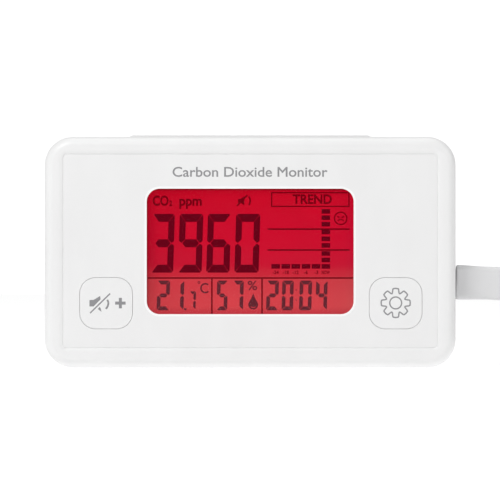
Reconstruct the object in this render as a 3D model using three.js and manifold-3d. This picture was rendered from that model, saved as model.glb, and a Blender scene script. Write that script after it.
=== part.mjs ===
// Desktop carbon dioxide monitor: a white two-part case with a lit display, two push buttons, an infrared
// gas sensor, a fold-out stand and a plugged-in USB lead.
// Millimetres. +X is right seen from the front, -Y points out of the front face, +Z is up.
// The origin is on the table, under the middle of the case.
import * as THREE from "three";
import { mergeVertices } from "three/addons/utils/BufferGeometryUtils.js";
import Module from "manifold-3d";

const wasm = await Module();
wasm.setup();

// ---- Driving dimensions ----
const CASE = { width: 130, height: 73, depth: 28, corner: 9, edge: 4.5, wall: 2 };
const FRONT_Y = -CASE.depth / 2;
const REAR_Y = CASE.depth / 2;
const SEAM = 0.2; // gap between the two halves of the case, behind y = 0
const PANEL = { width: 118.2, height: 61.2, z: 36.9, corner: 1.3, recess: 0.6, thick: 0.8, gap: 0.15 };
const FLOOR = { thick: 1.2, gap: 0.05 }; // wall of the front shell that carries the panel
const WINDOW = { width: 65, height: 39.3, z: 36.9, corner: 4.1, rim: 0.8, thick: 1 };
const BUTTON = { width: 16.9, height: 16.4, corner: 4.4, x: 45.6, z: 20.5, gap: 0.3 };
const TOP_STRIP = { width: 78, rise: 0.9, slope: 1.5, front: 1.5, rear: 9 };
const SLOT = { wide: 2, pitch: 4.8, count: 15 };
const STAND = { width: 61.2, top: 51.4, thick: 2.25, pinY: 12.1, pinZ: 3.6, barrel: 1.75, pin: 1, gap: 0.4 };
const BOARD = { width: 118, bottom: 6.5, top: 66.5, front: -5, thick: 1.6 };
const CASE_SCREW = { x: 57, low: 8.5, high: 64.5, head: 2.3, shank: 1, seatY: 6 };
const BOARD_SCREW = { head: 1.9, shank: 0.85 };
const LCD = { width: 69, bottom: 12.8, top: 58.8, front: -11.25, thick: 2.2 };
const USB = { z: 27, y: -1.95, tilt: THREE.MathUtils.degToRad(1.9) };
const CABLE = { diameter: 3.5, sides: 8 };
const COIL = { x: 115, y: 8, inner: 14, outer: 24.5, bottom: 0.7, top: 11.2 };

// Places worked out from the driving dimensions.
const PANEL_FACE = FRONT_Y + PANEL.recess;
const PANEL_BACK = PANEL_FACE + PANEL.thick;
const FLOOR_FACE = PANEL_BACK + FLOOR.gap;
const FLOOR_BACK = FLOOR_FACE + FLOOR.thick;
const BOARD_REAR = BOARD.front + BOARD.thick;
const SCREW_PLACES = [
  [-CASE_SCREW.x, CASE_SCREW.low],
  [CASE_SCREW.x, CASE_SCREW.low],
  [CASE_SCREW.x, CASE_SCREW.high],
  [-CASE_SCREW.x, CASE_SCREW.high],
];
const BOARD_SCREW_PLACES = [
  [-32, 8.6],
  [32, 8.6],
  [48, 62.5],
  [-48, 62.5],
];

// ---- Materials ----
function material(color, roughness, metalness = 0) {
  return new THREE.MeshStandardMaterial({ color, roughness, metalness });
}
const LOOK = {
  case: () => material(0xf0f0f0, 0.45),
  panel: () => material(0xeeeeee, 0.4),
  button: () => material(0xededed, 0.45),
  clear: () => material(0xdfe8ea, 0.05),
  display: () => material(0xc80028, 0.2),
  board: () => material(0x1f6b3c, 0.5),
  chip: () => material(0x1c1c1e, 0.6),
  steel: () => material(0xb8b8bc, 0.35, 1),
  brass: () => material(0xc9a455, 0.35, 1),
  rubber: () => material(0x2a2a2c, 0.8),
  grip: () => material(0xdadada, 0.5),
  lead: () => material(0xe2e2e2, 0.55),
  sheet: () => material(0xf7f7f4, 0.7),
  lamp: () => material(0xffe3a0, 0.3),
};

// ---- Outlines, in the XZ plane ----
function roundedRect(x, z, width, height, radius) {
  const left = x - width / 2;
  const right = x + width / 2;
  const low = z - height / 2;
  const high = z + height / 2;
  const outline = new THREE.Shape();
  outline.moveTo(left + radius, low);
  outline.lineTo(right - radius, low);
  outline.absarc(right - radius, low + radius, radius, -Math.PI / 2, 0);
  outline.lineTo(right, high - radius);
  outline.absarc(right - radius, high - radius, radius, 0, Math.PI / 2);
  outline.lineTo(left + radius, high);
  outline.absarc(left + radius, high - radius, radius, Math.PI / 2, Math.PI);
  outline.lineTo(left, low + radius);
  outline.absarc(left + radius, low + radius, radius, Math.PI, Math.PI * 1.5);
  return outline;
}

function polygon(points) {
  return new THREE.Shape(points.map(([x, z]) => new THREE.Vector2(x, z)));
}

// ---- Solids ----
// A closed geometry as a manifold solid, with its shared corners merged.
function solid(geometry) {
  const bare = geometry.clone();
  bare.deleteAttribute("normal");
  bare.deleteAttribute("uv");
  const merged = mergeVertices(bare, 1e-4);
  return new wasm.Manifold(
    new wasm.Mesh({
      numProp: 3,
      vertProperties: merged.attributes.position.array,
      triVerts: new Uint32Array(merged.index.array),
    }),
  );
}

function join(first, ...others) {
  return others.reduce((whole, other) => whole.add(other), first);
}

function cut(whole, ...tools) {
  return tools.reduce((left, tool) => left.subtract(tool), whole);
}

function geometryOf(body) {
  const mesh = body.getMesh();
  const geometry = new THREE.BufferGeometry();
  const position = new Float32Array(mesh.numVert * 3);
  for (let i = 0; i < mesh.numVert; i++) {
    position.set(mesh.vertProperties.subarray(i * mesh.numProp, i * mesh.numProp + 3), i * 3);
  }
  geometry.setAttribute("position", new THREE.BufferAttribute(position, 3));
  geometry.setIndex(new THREE.BufferAttribute(mesh.triVerts, 1));
  return geometry;
}

// An XZ outline extruded from y = front to y = rear.
function slab(outline, front, rear, curveSegments = 4) {
  const geometry = new THREE.ExtrudeGeometry(outline, {
    depth: rear - front,
    bevelEnabled: false,
    curveSegments,
  });
  geometry.rotateX(Math.PI / 2);
  geometry.translate(0, rear, 0);
  return solid(geometry);
}

// The same, with its front and rear edges rounded to a radius.
function pillow(outline, front, rear, edge, curveSegments, bevelSegments) {
  const geometry = new THREE.ExtrudeGeometry(outline, {
    depth: rear - front - 2 * edge,
    bevelThickness: edge,
    bevelSize: edge,
    bevelOffset: -edge,
    bevelSegments,
    curveSegments,
  });
  geometry.rotateX(Math.PI / 2);
  geometry.translate(0, rear - edge, 0);
  return solid(geometry);
}

function block(x0, x1, y0, y1, z0, z1) {
  const geometry = new THREE.BoxGeometry(x1 - x0, y1 - y0, z1 - z0);
  geometry.translate((x0 + x1) / 2, (y0 + y1) / 2, (z0 + z1) / 2);
  return solid(geometry);
}

// A round rod along X, Y or Z, from one place to another on that axis; a and b place it on the other two.
function rod(axis, radius, from, to, a, b, sides = 16, endRadius = radius) {
  const geometry = new THREE.CylinderGeometry(endRadius, radius, to - from, sides);
  const middle = (from + to) / 2;
  if (axis === "x") {
    geometry.rotateZ(-Math.PI / 2);
    geometry.translate(middle, a, b);
  } else if (axis === "y") {
    geometry.translate(a, middle, b);
  } else {
    geometry.rotateX(Math.PI / 2);
    geometry.translate(a, b, middle);
  }
  return solid(geometry);
}

const monitor = new THREE.Group();

function add(name, body, look) {
  const mesh = new THREE.Mesh(geometryOf(body), look());
  mesh.name = name;
  monitor.add(mesh);
}

// ---- Case ----
function caseOutline(inset) {
  return roundedRect(
    0,
    CASE.height / 2,
    CASE.width - 2 * inset,
    CASE.height - 2 * inset,
    CASE.corner - inset,
  );
}

const caseBody = pillow(caseOutline(0), FRONT_Y, REAR_Y, CASE.edge, 6, 4);
const cavity = pillow(caseOutline(CASE.wall), FLOOR_BACK, REAR_Y - CASE.wall, CASE.edge - CASE.wall, 3, 2);
const BEYOND = 80; // half-size of a block that reaches past the case on every side

function buttonOutline(x, grow) {
  return roundedRect(
    x,
    BUTTON.z,
    BUTTON.width + 2 * grow,
    BUTTON.height + 2 * grow,
    BUTTON.corner + grow,
  );
}

function windowOutline(grow) {
  return roundedRect(
    0,
    WINDOW.z,
    WINDOW.width + 2 * grow,
    WINDOW.height + 2 * grow,
    WINDOW.corner + grow,
  );
}

const socketSlot = block(60, 70, USB.y - 1.85, SEAM + 0.3, USB.z - 4.5, USB.z + 4.5);

function frontShell() {
  const PAST = 1; // how far a cut runs past the face that it opens
  let shell = cut(
    caseBody.intersect(block(-BEYOND, BEYOND, FRONT_Y - PAST, 0, -BEYOND, BEYOND)),
    cavity,
  );
  for (const [x, z] of SCREW_PLACES) {
    shell = cut(
      join(shell, rod("y", 3, FLOOR_BACK - 0.5, -0.3, x, z)),
      rod("y", 1.15, -9, 0, x, z, 12),
    );
  }
  for (const [x, z] of BOARD_SCREW_PLACES) {
    shell = cut(
      join(shell, rod("y", 2.1, FLOOR_BACK - 0.5, BOARD.front - 0.05, x, z, 12)),
      rod("y", 1, -9.2, BOARD.front, x, z, 12),
    );
  }
  const recess = roundedRect(0, PANEL.z, PANEL.width, PANEL.height, PANEL.corner);
  return cut(
    shell,
    slab(recess, FRONT_Y - PAST, FLOOR_FACE),
    slab(windowOutline(1), FRONT_Y - PAST, FLOOR_BACK + 0.3),
    slab(buttonOutline(-BUTTON.x, BUTTON.gap), FRONT_Y - PAST, FLOOR_BACK + 0.3),
    slab(buttonOutline(BUTTON.x, BUTTON.gap), FRONT_Y - PAST, FLOOR_BACK + 0.3),
    socketSlot,
  );
}

function frontPanel() {
  const outline = roundedRect(
    0,
    PANEL.z,
    PANEL.width - 2 * PANEL.gap,
    PANEL.height - 2 * PANEL.gap,
    PANEL.corner - PANEL.gap,
  );
  outline.holes.push(windowOutline(0));
  outline.holes.push(buttonOutline(-BUTTON.x, BUTTON.gap));
  outline.holes.push(buttonOutline(BUTTON.x, BUTTON.gap));
  return slab(outline, PANEL_FACE, PANEL_BACK);
}

function topStrip() {
  const foot = TOP_STRIP.width / 2;
  const head = foot - TOP_STRIP.slope;
  const outline = polygon([
    [-foot, CASE.height - 1],
    [foot, CASE.height - 1],
    [foot, CASE.height],
    [head, CASE.height + TOP_STRIP.rise],
    [-head, CASE.height + TOP_STRIP.rise],
    [-foot, CASE.height],
  ]);
  return slab(outline, TOP_STRIP.front, TOP_STRIP.rear);
}

// Upright slots through the top strip and through the rear wall above the stand, and level slots
// beside it.
function airSlots() {
  const slots = [];
  const first = (-(SLOT.count - 1) / 2) * SLOT.pitch;
  for (let i = 0; i < SLOT.count; i++) {
    const x = first + i * SLOT.pitch;
    slots.push(block(x - SLOT.wide / 2, x + SLOT.wide / 2, 2.3, 8.3, 70, 75));
    slots.push(block(x - SLOT.wide / 2, x + SLOT.wide / 2, 11, 15, 56.8, 65.8));
  }
  for (const side of [-1, 1]) {
    for (let i = 0; i < 6; i++) {
      const z = 22 + i * 5;
      slots.push(block(side * 48 - 8, side * 48 + 8, 11, 15, z - SLOT.wide / 2, z + SLOT.wide / 2));
    }
  }
  return slots;
}

function rearShell() {
  const lip = cut(
    slab(caseOutline(CASE.wall + 0.2), -1.5, 1),
    slab(caseOutline(CASE.wall + 1.2), -2, 2),
    block(55, 70, -2, 1, USB.z - 5.2, USB.z + 5.2),
  );
  const lipAnchor = cut(slab(caseOutline(CASE.wall - 0.2), SEAM, 1), slab(caseOutline(CASE.wall + 1.2), -2, 2));
  const behindSeam = block(-BEYOND, BEYOND, SEAM, REAR_Y + 1, -BEYOND, BEYOND);
  const recessWalls = join(
    block(-33, 33, 9.2, 12.5, 1, 56),
    block(-34, 34, 8, 13, 1, 8.2),
  ).intersect(caseBody);
  let shell = join(
    cut(join(caseBody, topStrip()).intersect(behindSeam), cavity),
    lipAnchor,
    lip,
    recessWalls,
  );
  for (const [x, z] of SCREW_PLACES) {
    shell = cut(
      join(shell, rod("y", 3.2, SEAM, REAR_Y - 1.5, x, z)),
      rod("y", 1.3, -1, REAR_Y, x, z, 12),
      rod("y", 2.6, CASE_SCREW.seatY, REAR_Y + 1, x, z),
    );
  }
  const side = STAND.width / 2 + STAND.gap;
  return cut(
    shell,
    block(-side, side, 11.2, REAR_Y + 1, -1, STAND.top + 0.6),
    block(-side, side, 10, REAR_Y + 1, -1, 6.2),
    slab(roundedRect(0, 52, 18, 6, 2.9), 11.2, REAR_Y + 1),
    rod("x", STAND.pin + 0.2, -side - 1.8, side + 1.8, STAND.pinY, STAND.pinZ),
    socketSlot,
    ...airSlots(),
  );
}

function stand() {
  const side = STAND.width / 2;
  const rear = STAND.pinY + STAND.barrel;
  const plate = slab(
    roundedRect(0, (STAND.pinZ + STAND.top) / 2, STAND.width, STAND.top - STAND.pinZ, 2),
    rear - STAND.thick,
    rear,
  );
  const squareFoot = block(-side, side, rear - STAND.thick, rear, STAND.pinZ, STAND.pinZ + 4);
  const windowCut = slab(roundedRect(0, 26, 30, 22, 3), rear - STAND.thick - 1, rear - 1.2);
  return join(
    cut(plate, windowCut),
    squareFoot,
    rod("x", STAND.barrel, -side, side, STAND.pinY, STAND.pinZ, 24),
    rod("x", STAND.pin, -side - 1.6, side + 1.6, STAND.pinY, STAND.pinZ, 20),
  );
}

// A pan-head screw along Y with its head to the rear, and a cross recess in the head.
function screw(x, z, seatY, headRadius, headThick, shankRadius, tipY) {
  const head = rod("y", headRadius, seatY + 0.05, seatY + headThick, x, z, 16, headRadius * 0.86);
  const shank = rod("y", shankRadius, tipY, seatY + 0.3, x, z, 8);
  const arm = headRadius * 0.6;
  const depth = seatY + headThick * 0.45;
  return cut(
    join(head, shank),
    block(x - arm, x + arm, depth, seatY + headThick + 1, z - 0.3, z + 0.3),
    block(x - 0.3, x + 0.3, depth, seatY + headThick + 1, z - arm, z + arm),
  );
}

add("front_shell", frontShell(), LOOK.case);
add("front_panel", frontPanel(), LOOK.panel);
add("rear_shell", rearShell(), LOOK.case);
add("stand", stand(), LOOK.case);
add("display_window", slab(windowOutline(WINDOW.rim), PANEL_BACK + 0.1, PANEL_BACK + 0.1 + WINDOW.thick), LOOK.clear);
SCREW_PLACES.forEach(([x, z], i) => {
  const body = screw(x, z, CASE_SCREW.seatY, CASE_SCREW.head, 1.6, CASE_SCREW.shank, -7.5);
  add(`case_screw_${i + 1}`, body, LOOK.steel);
});

// ---- Buttons and their switches ----
function buttonCap(x) {
  const flange = roundedRect(x, BUTTON.z, BUTTON.width + 1.4, BUTTON.height + 2.4, BUTTON.corner);
  return join(
    slab(buttonOutline(x, 0), PANEL_FACE, FLOOR_BACK + 1.05),
    slab(flange, FLOOR_BACK + 0.1, FLOOR_BACK + 1.1),
    rod("y", 1.5, FLOOR_BACK + 1, -9.15, x, BUTTON.z, 16),
  );
}

function pushSwitch(x) {
  const body = block(x - 3, x + 3, -8.4, BOARD.front - 0.05, BUTTON.z - 3, BUTTON.z + 3);
  return cut(body, rod("y", 1.9, -9, -6.2, x, BUTTON.z));
}

for (const [name, x] of [
  ["mute", -BUTTON.x],
  ["settings", BUTTON.x],
]) {
  add(`${name}_button`, buttonCap(x), LOOK.button);
  add(`${name}_switch`, pushSwitch(x), LOOK.chip);
  add(`${name}_switch_plunger`, rod("y", 1.65, -9.1, -7, x, BUTTON.z, 16), LOOK.chip);
}

// ---- Display and backlight, stacked from the window back to the board ----
function displayHolder() {
  const outer = block(-36, 36, -11.2, BOARD.front - 0.1, 11.3, 60.3);
  return cut(outer, block(-34.8, 34.8, -12, BOARD.front + 1, 12.5, 59.1));
}

add("lcd_holder", displayHolder(), LOOK.case);
add(
  "lcd_glass",
  block(-LCD.width / 2, LCD.width / 2, LCD.front, LCD.front + LCD.thick, LCD.bottom, LCD.top),
  LOOK.display,
);
add("contact_strip", block(-31, 31, -8.95, BOARD.front - 0.1, 13.3, 15.5), LOOK.rubber);
add("diffuser_sheet", block(-33.8, 32.2, -8.95, -8.7, 16.2, 58.2), LOOK.sheet);
add("light_guide", block(-33.8, 32.2, -8.6, -6.2, 16.2, 58.2), LOOK.clear);
add("reflector_sheet", block(-33.8, 32.2, -6.1, -5.85, 16.2, 58.2), LOOK.sheet);
[24, 37, 50].forEach((z, i) => {
  add(`backlight_lamp_${i + 1}`, block(32.6, 34.2, -7.6, BOARD.front - 0.1, z - 1.6, z + 1.6), LOOK.lamp);
});

// ---- Main board and what is soldered to it ----
function mainBoard() {
  const half = BOARD.width / 2;
  const notch = 5.6; // corner cut out round each case screw post
  const { bottom, top } = BOARD;
  const outline = polygon([
    [-half + notch, bottom],
    [half - notch, bottom],
    [half - notch, bottom + notch],
    [half, bottom + notch],
    [half, USB.z - 5.5],
    [62.4, USB.z - 5.5],
    [62.4, USB.z + 5.5],
    [half, USB.z + 5.5],
    [half, top - notch],
    [half - notch, top - notch],
    [half - notch, top],
    [-half + notch, top],
    [-half + notch, top - notch],
    [-half, top - notch],
    [-half, bottom + notch],
    [-half + notch, bottom + notch],
  ]);
  const holes = BOARD_SCREW_PLACES.map(([x, z]) => rod("y", 1.1, BOARD.front - 1, BOARD_REAR + 1, x, z, 12));
  return cut(slab(outline, BOARD.front, BOARD_REAR), ...holes);
}

// A component on the rear face of the board.
function onBoard(x, z, width, height, thick) {
  const foot = BOARD_REAR + 0.05;
  return block(x - width / 2, x + width / 2, foot, foot + thick, z - height / 2, z + height / 2);
}

add("main_board", mainBoard(), LOOK.board);
BOARD_SCREW_PLACES.forEach(([x, z], i) => {
  const body = screw(x, z, BOARD_REAR, BOARD_SCREW.head, 1.2, BOARD_SCREW.shank, -8.6);
  add(`board_screw_${i + 1}`, body, LOOK.steel);
});
add("processor_chip", onBoard(4, 40, 12, 12, 1.4), LOOK.chip);
add("display_driver_chip", onBoard(-18, 40, 8, 8, 1), LOOK.chip);
add("quartz_crystal", slab(roundedRect(22, 50, 10.5, 4.2, 2.09), BOARD_REAR + 0.05, BOARD_REAR + 3.5), LOOK.steel);
add("voltage_regulator", onBoard(46, 33, 6.5, 3.5, 1.7), LOOK.chip);
add("smoothing_capacitor", rod("y", 3.15, BOARD_REAR + 0.05, BOARD_REAR + 7.7, 50, 41.5), LOOK.steel);
add(
  "buzzer",
  cut(
    rod("y", 6, BOARD_REAR + 0.05, BOARD_REAR + 6.5, 47, 54, 28),
    rod("y", 1, BOARD_REAR + 4.5, BOARD_REAR + 8, 47, 54, 12),
  ),
  LOOK.chip,
);
add("humidity_sensor", onBoard(-48, 14, 3, 3, 1), LOOK.chip);

// ---- Infrared gas sensor, standing off the rear of the board on its header ----
const GAS = { x: -47, low: 24, high: 57, board: -0.6, deck: 0.6, axisY: 4.7 };

function opticalChamber() {
  const { x } = GAS;
  const shell = block(x - 6, x + 6, GAS.deck + 0.1, 8.1, 27, 54);
  const channel = block(x - 3.5, x + 3.5, 2.5, 6.9, 29, 52);
  const inlet = block(x - 2.5, x + 2.5, 6, 9, 31, 49);
  const lampBore = rod("z", 1.85, 26, 30, x, GAS.axisY, 16);
  const detectorBore = rod("z", 2.45, 51, 55, x, GAS.axisY, 20);
  return cut(shell, join(channel, inlet, lampBore, detectorBore));
}

add("gas_sensor_board", block(GAS.x - 10, GAS.x + 10, GAS.board, GAS.deck, GAS.low, GAS.high), LOOK.board);
add(
  "gas_sensor_header",
  block(GAS.x - 9.5, GAS.x - 7, BOARD_REAR + 0.05, GAS.board - 0.05, 30, 50.3),
  LOOK.chip,
);
add("optical_chamber", opticalChamber(), LOOK.brass);
add("chamber_filter", block(GAS.x - 4, GAS.x + 4, 8.15, 8.55, 29.5, 50.5), LOOK.sheet);
add("infrared_lamp", rod("z", 1.6, 24.8, 31.5, GAS.x, GAS.axisY, 16), LOOK.lamp);
add("infrared_detector", rod("z", 2.2, 50, 56.5, GAS.x, GAS.axisY, 20), LOOK.steel);

// ---- Micro-USB socket in the right side ----
function usbSocket() {
  const body = block(57.5, 63.4, BOARD_REAR + 0.05, -0.55, USB.z - 3.9, USB.z + 3.9);
  return cut(body, block(58.5, 64, USB.y - 1, USB.y + 1, USB.z - 3.55, USB.z + 3.55));
}

add("usb_socket", usbSocket(), LOOK.steel);
add(
  "usb_socket_tongue",
  block(58.55, 62.6, USB.y - 0.4, USB.y + 0.4, USB.z - 2.7, USB.z + 2.7),
  LOOK.chip,
);

// ---- USB lead: plug, cable, coil and far plug ----
const GRIP = { from: 0.45, to: 20.3, tall: 11, deep: 7, corner: 1.6, edge: 1.2 };
const RELIEF = { from: 20.6, to: 32.6, base: 2.9, end: 2.15 };
const FAR = { y: 21, z: 15.5, deep: 15.5, tall: 8, relief: 124.6, grip: 117, mouth: 97, tip: 85 };
const CASE_SIDE = CASE.width / 2;

// A block along X with rounded long edges and rounded ends.
function gripBlock(x0, x1, y, z, deep, tall, corner, edge) {
  const geometry = new THREE.ExtrudeGeometry(roundedRect(0, 0, tall, deep, corner), {
    depth: x1 - x0 - 2 * edge,
    bevelThickness: edge,
    bevelSize: edge,
    bevelOffset: -edge,
    bevelSegments: 3,
    curveSegments: 3,
  });
  geometry.rotateY(Math.PI / 2);
  geometry.translate(x0 + edge, y, z);
  return geometry;
}

// The near plug droops a little in its socket, about the middle of the socket's mouth.
function droop(geometry) {
  geometry.translate(-CASE_SIDE, 0, -USB.z);
  geometry.rotateY(USB.tilt);
  geometry.translate(CASE_SIDE, 0, USB.z);
  return solid(geometry);
}

function nearPlugShell() {
  const outer = block(59, CASE_SIDE + 0.15, USB.y - 0.9, USB.y + 0.9, USB.z - 3.4, USB.z + 3.4);
  return cut(outer, block(58, 64.6, USB.y - 0.6, USB.y + 0.6, USB.z - 3.1, USB.z + 3.1));
}

// A tube of the cable's diameter through a list of points.
function tube(points, steps) {
  const section = [];
  for (let i = 0; i < CABLE.sides; i++) {
    const angle = (i / CABLE.sides) * Math.PI * 2;
    section.push(new THREE.Vector2(Math.cos(angle), Math.sin(angle)).multiplyScalar(CABLE.diameter / 2));
  }
  const extrudePath = new THREE.CatmullRomCurve3(points.map((p) => new THREE.Vector3(...p)));
  return solid(new THREE.ExtrudeGeometry(new THREE.Shape(section), { steps, extrudePath }));
}

// From the strain relief the cable sags into the middle of the coil, down to the table.
const LEAD_IN = [
  [97.9, -1.95, 25.9],
  [101.5, -1.95, 25.75],
  [105, -1.97, 25.35],
  [108.5, -2, 24.5],
  [112, -2, 22.9],
  [115.5, -1.9, 20.6],
  [118.8, -1.2, 18],
  [121.8, 0.4, 15.3],
  [124.1, 2.8, 12.7],
  [125.5, 5.8, 10.3],
  [125.9, 9.2, 8.2],
  [125.2, 12.6, 6.3],
  [123.4, 15.6, 4.8],
  [120.6, 17.9, 3.6],
  [117.3, 19.2, 2.8],
  [113.7, 19.5, 2.45],
];

// Its tail leaves the top of the coil and bends round into the far plug, which lies on the coil.
const TAIL = [
  [137.3, 6.5, 13.5],
  [137, 10, 13.8],
  [135.9, 13.6, 14.3],
  [133.8, 16.8, 14.9],
  [131, 19.2, 15.3],
  [127.8, 20.6, 15.5],
  [124.9, 21, 15.5],
];

function coil() {
  const chamfer = CABLE.diameter * 0.3;
  const { inner, outer, bottom, top } = COIL;
  const profile = [
    [inner + chamfer, bottom],
    [outer - chamfer, bottom],
    [outer, bottom + chamfer],
    [outer, top - chamfer],
    [outer - chamfer, top],
    [inner + chamfer, top],
    [inner, top - chamfer],
    [inner, bottom + chamfer],
    [inner + chamfer, bottom],
  ];
  const geometry = new THREE.LatheGeometry(
    profile.map(([r, z]) => new THREE.Vector2(r, z)),
    40,
  );
  geometry.rotateX(Math.PI / 2);
  geometry.translate(COIL.x, COIL.y, 0);
  return solid(geometry);
}

function tie() {
  const near = COIL.y - COIL.outer - 0.3;
  const far = COIL.y - COIL.inner + 0.55;
  const high = COIL.top + 0.3;
  const low = 0.4;
  const outer = block(COIL.x - 2.5, COIL.x + 2.5, near - 0.6, far + 0.6, 0, high + 0.6);
  return cut(outer, block(COIL.x - 3, COIL.x + 3, near, far, low, high));
}

function farPlugShell() {
  const outer = block(FAR.tip, FAR.mouth - 0.3, FAR.y - 6, FAR.y + 6, FAR.z - 2.25, FAR.z + 2.25);
  return cut(outer, block(FAR.tip - 1, FAR.mouth - 1.3, FAR.y - 5.7, FAR.y + 5.7, FAR.z - 1.95, FAR.z + 1.95));
}

add("usb_plug_shell", nearPlugShell(), LOOK.steel);
add(
  "usb_plug_grip",
  droop(
    gripBlock(
      CASE_SIDE + GRIP.from,
      CASE_SIDE + GRIP.to,
      USB.y,
      USB.z,
      GRIP.deep,
      GRIP.tall,
      GRIP.corner,
      GRIP.edge,
    ),
  ),
  LOOK.grip,
);
const relief = new THREE.CylinderGeometry(RELIEF.end, RELIEF.base, RELIEF.to - RELIEF.from, 16);
relief.rotateZ(-Math.PI / 2);
relief.translate(CASE_SIDE + (RELIEF.from + RELIEF.to) / 2, USB.y, USB.z);
add("usb_strain_relief", droop(relief), LOOK.grip);
add("usb_cable", tube(LEAD_IN, 30), LOOK.lead);
add("cable_coil", coil(), LOOK.lead);
add("cable_tie", tie(), LOOK.rubber);
add("usb_cable_tail", tube(TAIL, 12), LOOK.lead);
add("usb_a_strain_relief", rod("x", 2.9, FAR.grip + 0.3, FAR.relief, FAR.y, FAR.z, 16, 2.15), LOOK.grip);
add(
  "usb_a_grip",
  solid(gripBlock(FAR.mouth, FAR.grip, FAR.y, FAR.z, FAR.deep, FAR.tall, 1.8, 1)),
  LOOK.grip,
);
add("usb_a_shell", farPlugShell(), LOOK.steel);
add(
  "usb_a_tongue",
  block(FAR.tip + 0.4, FAR.mouth - 1.6, FAR.y - 5.6, FAR.y + 5.6, FAR.z - 1.9, FAR.z - 0.1),
  LOOK.sheet,
);

export default monitor;
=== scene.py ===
"""Looks of a desktop carbon dioxide monitor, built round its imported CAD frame. Metres, +Z up,
front face towards -Y."""

import math

import bpy
import bmesh
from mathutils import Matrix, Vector


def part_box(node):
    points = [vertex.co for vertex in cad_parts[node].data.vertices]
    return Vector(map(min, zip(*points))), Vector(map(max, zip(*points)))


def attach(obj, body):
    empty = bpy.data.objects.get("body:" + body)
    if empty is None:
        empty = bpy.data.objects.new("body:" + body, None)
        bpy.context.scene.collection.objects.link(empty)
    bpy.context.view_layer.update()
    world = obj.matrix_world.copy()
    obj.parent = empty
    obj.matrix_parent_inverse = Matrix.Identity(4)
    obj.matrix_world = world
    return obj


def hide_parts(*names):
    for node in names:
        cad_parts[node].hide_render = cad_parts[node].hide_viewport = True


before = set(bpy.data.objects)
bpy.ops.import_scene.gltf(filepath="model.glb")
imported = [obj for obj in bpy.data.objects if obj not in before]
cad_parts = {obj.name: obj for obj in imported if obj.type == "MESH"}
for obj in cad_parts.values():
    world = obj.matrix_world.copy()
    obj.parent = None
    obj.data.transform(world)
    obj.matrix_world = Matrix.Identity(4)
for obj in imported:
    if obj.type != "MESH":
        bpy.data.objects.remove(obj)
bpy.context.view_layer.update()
MM = 0.001


# ---- Places taken from the frame, in millimetres ----
def box_mm(node):
    """Lowest and highest corners of a CAD node, in millimetres."""
    low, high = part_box(node)
    return Vector(low) / MM, Vector(high) / MM


FRONT_LOW, FRONT_HIGH = box_mm("front_shell")
REAR_HIGH = box_mm("rear_shell")[1]
CASE_W = FRONT_HIGH.x - FRONT_LOW.x
CASE_H = FRONT_HIGH.z - FRONT_LOW.z
FACE_Y = FRONT_LOW.y
BACK_Y = REAR_HIGH.y
PANEL_Y = box_mm("front_panel")[0].y
LCD_Y = box_mm("lcd_glass")[0].y
SOCKET_Z = sum(box_mm("usb_socket"), Vector()).z / 2
MID_Z = CASE_H / 2

CORNER, EDGE, WALL = 9, 4.5, 2
PANEL_W, PANEL_H, PANEL_Z, PANEL_GAP = 118.2, 61.2, 36.9, 0.05
WINDOW_W, WINDOW_H, WINDOW_Z, WINDOW_R = 65.3, 39.6, 36.75, 4.1
BUTTON_W, BUTTON_H, BUTTON_R, BUTTON_GAP = 16.6, 16.1, 5, 0.09
BUTTON_X, BUTTON_Z = {-1: -45.45, 1: 45.9}, 20.4
FLOOR_FACE, FLOOR_BACK = -12.55, -11.35
CABLE_D = 3.5


def placed(name, data):
    """Adds an object with that data to the scene."""
    obj = bpy.data.objects.new(name, data)
    bpy.context.collection.objects.link(obj)
    return obj


# ---- Camera, level and square to the front ----
def make_camera():
    view_width = 157.65 * MM
    distance = 1.2
    sensor = 36
    data = bpy.data.cameras.new("camera")
    data.sensor_width = sensor
    data.lens = sensor * distance / view_width
    camera = placed("camera", data)
    camera.location = (-0.06 * MM, FACE_Y * MM - distance, 37.2 * MM)
    camera.rotation_euler = (math.radians(90), 0, 0)
    data.clip_start, data.clip_end = 0.05, 20
    bpy.context.scene.camera = camera


make_camera()


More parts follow.
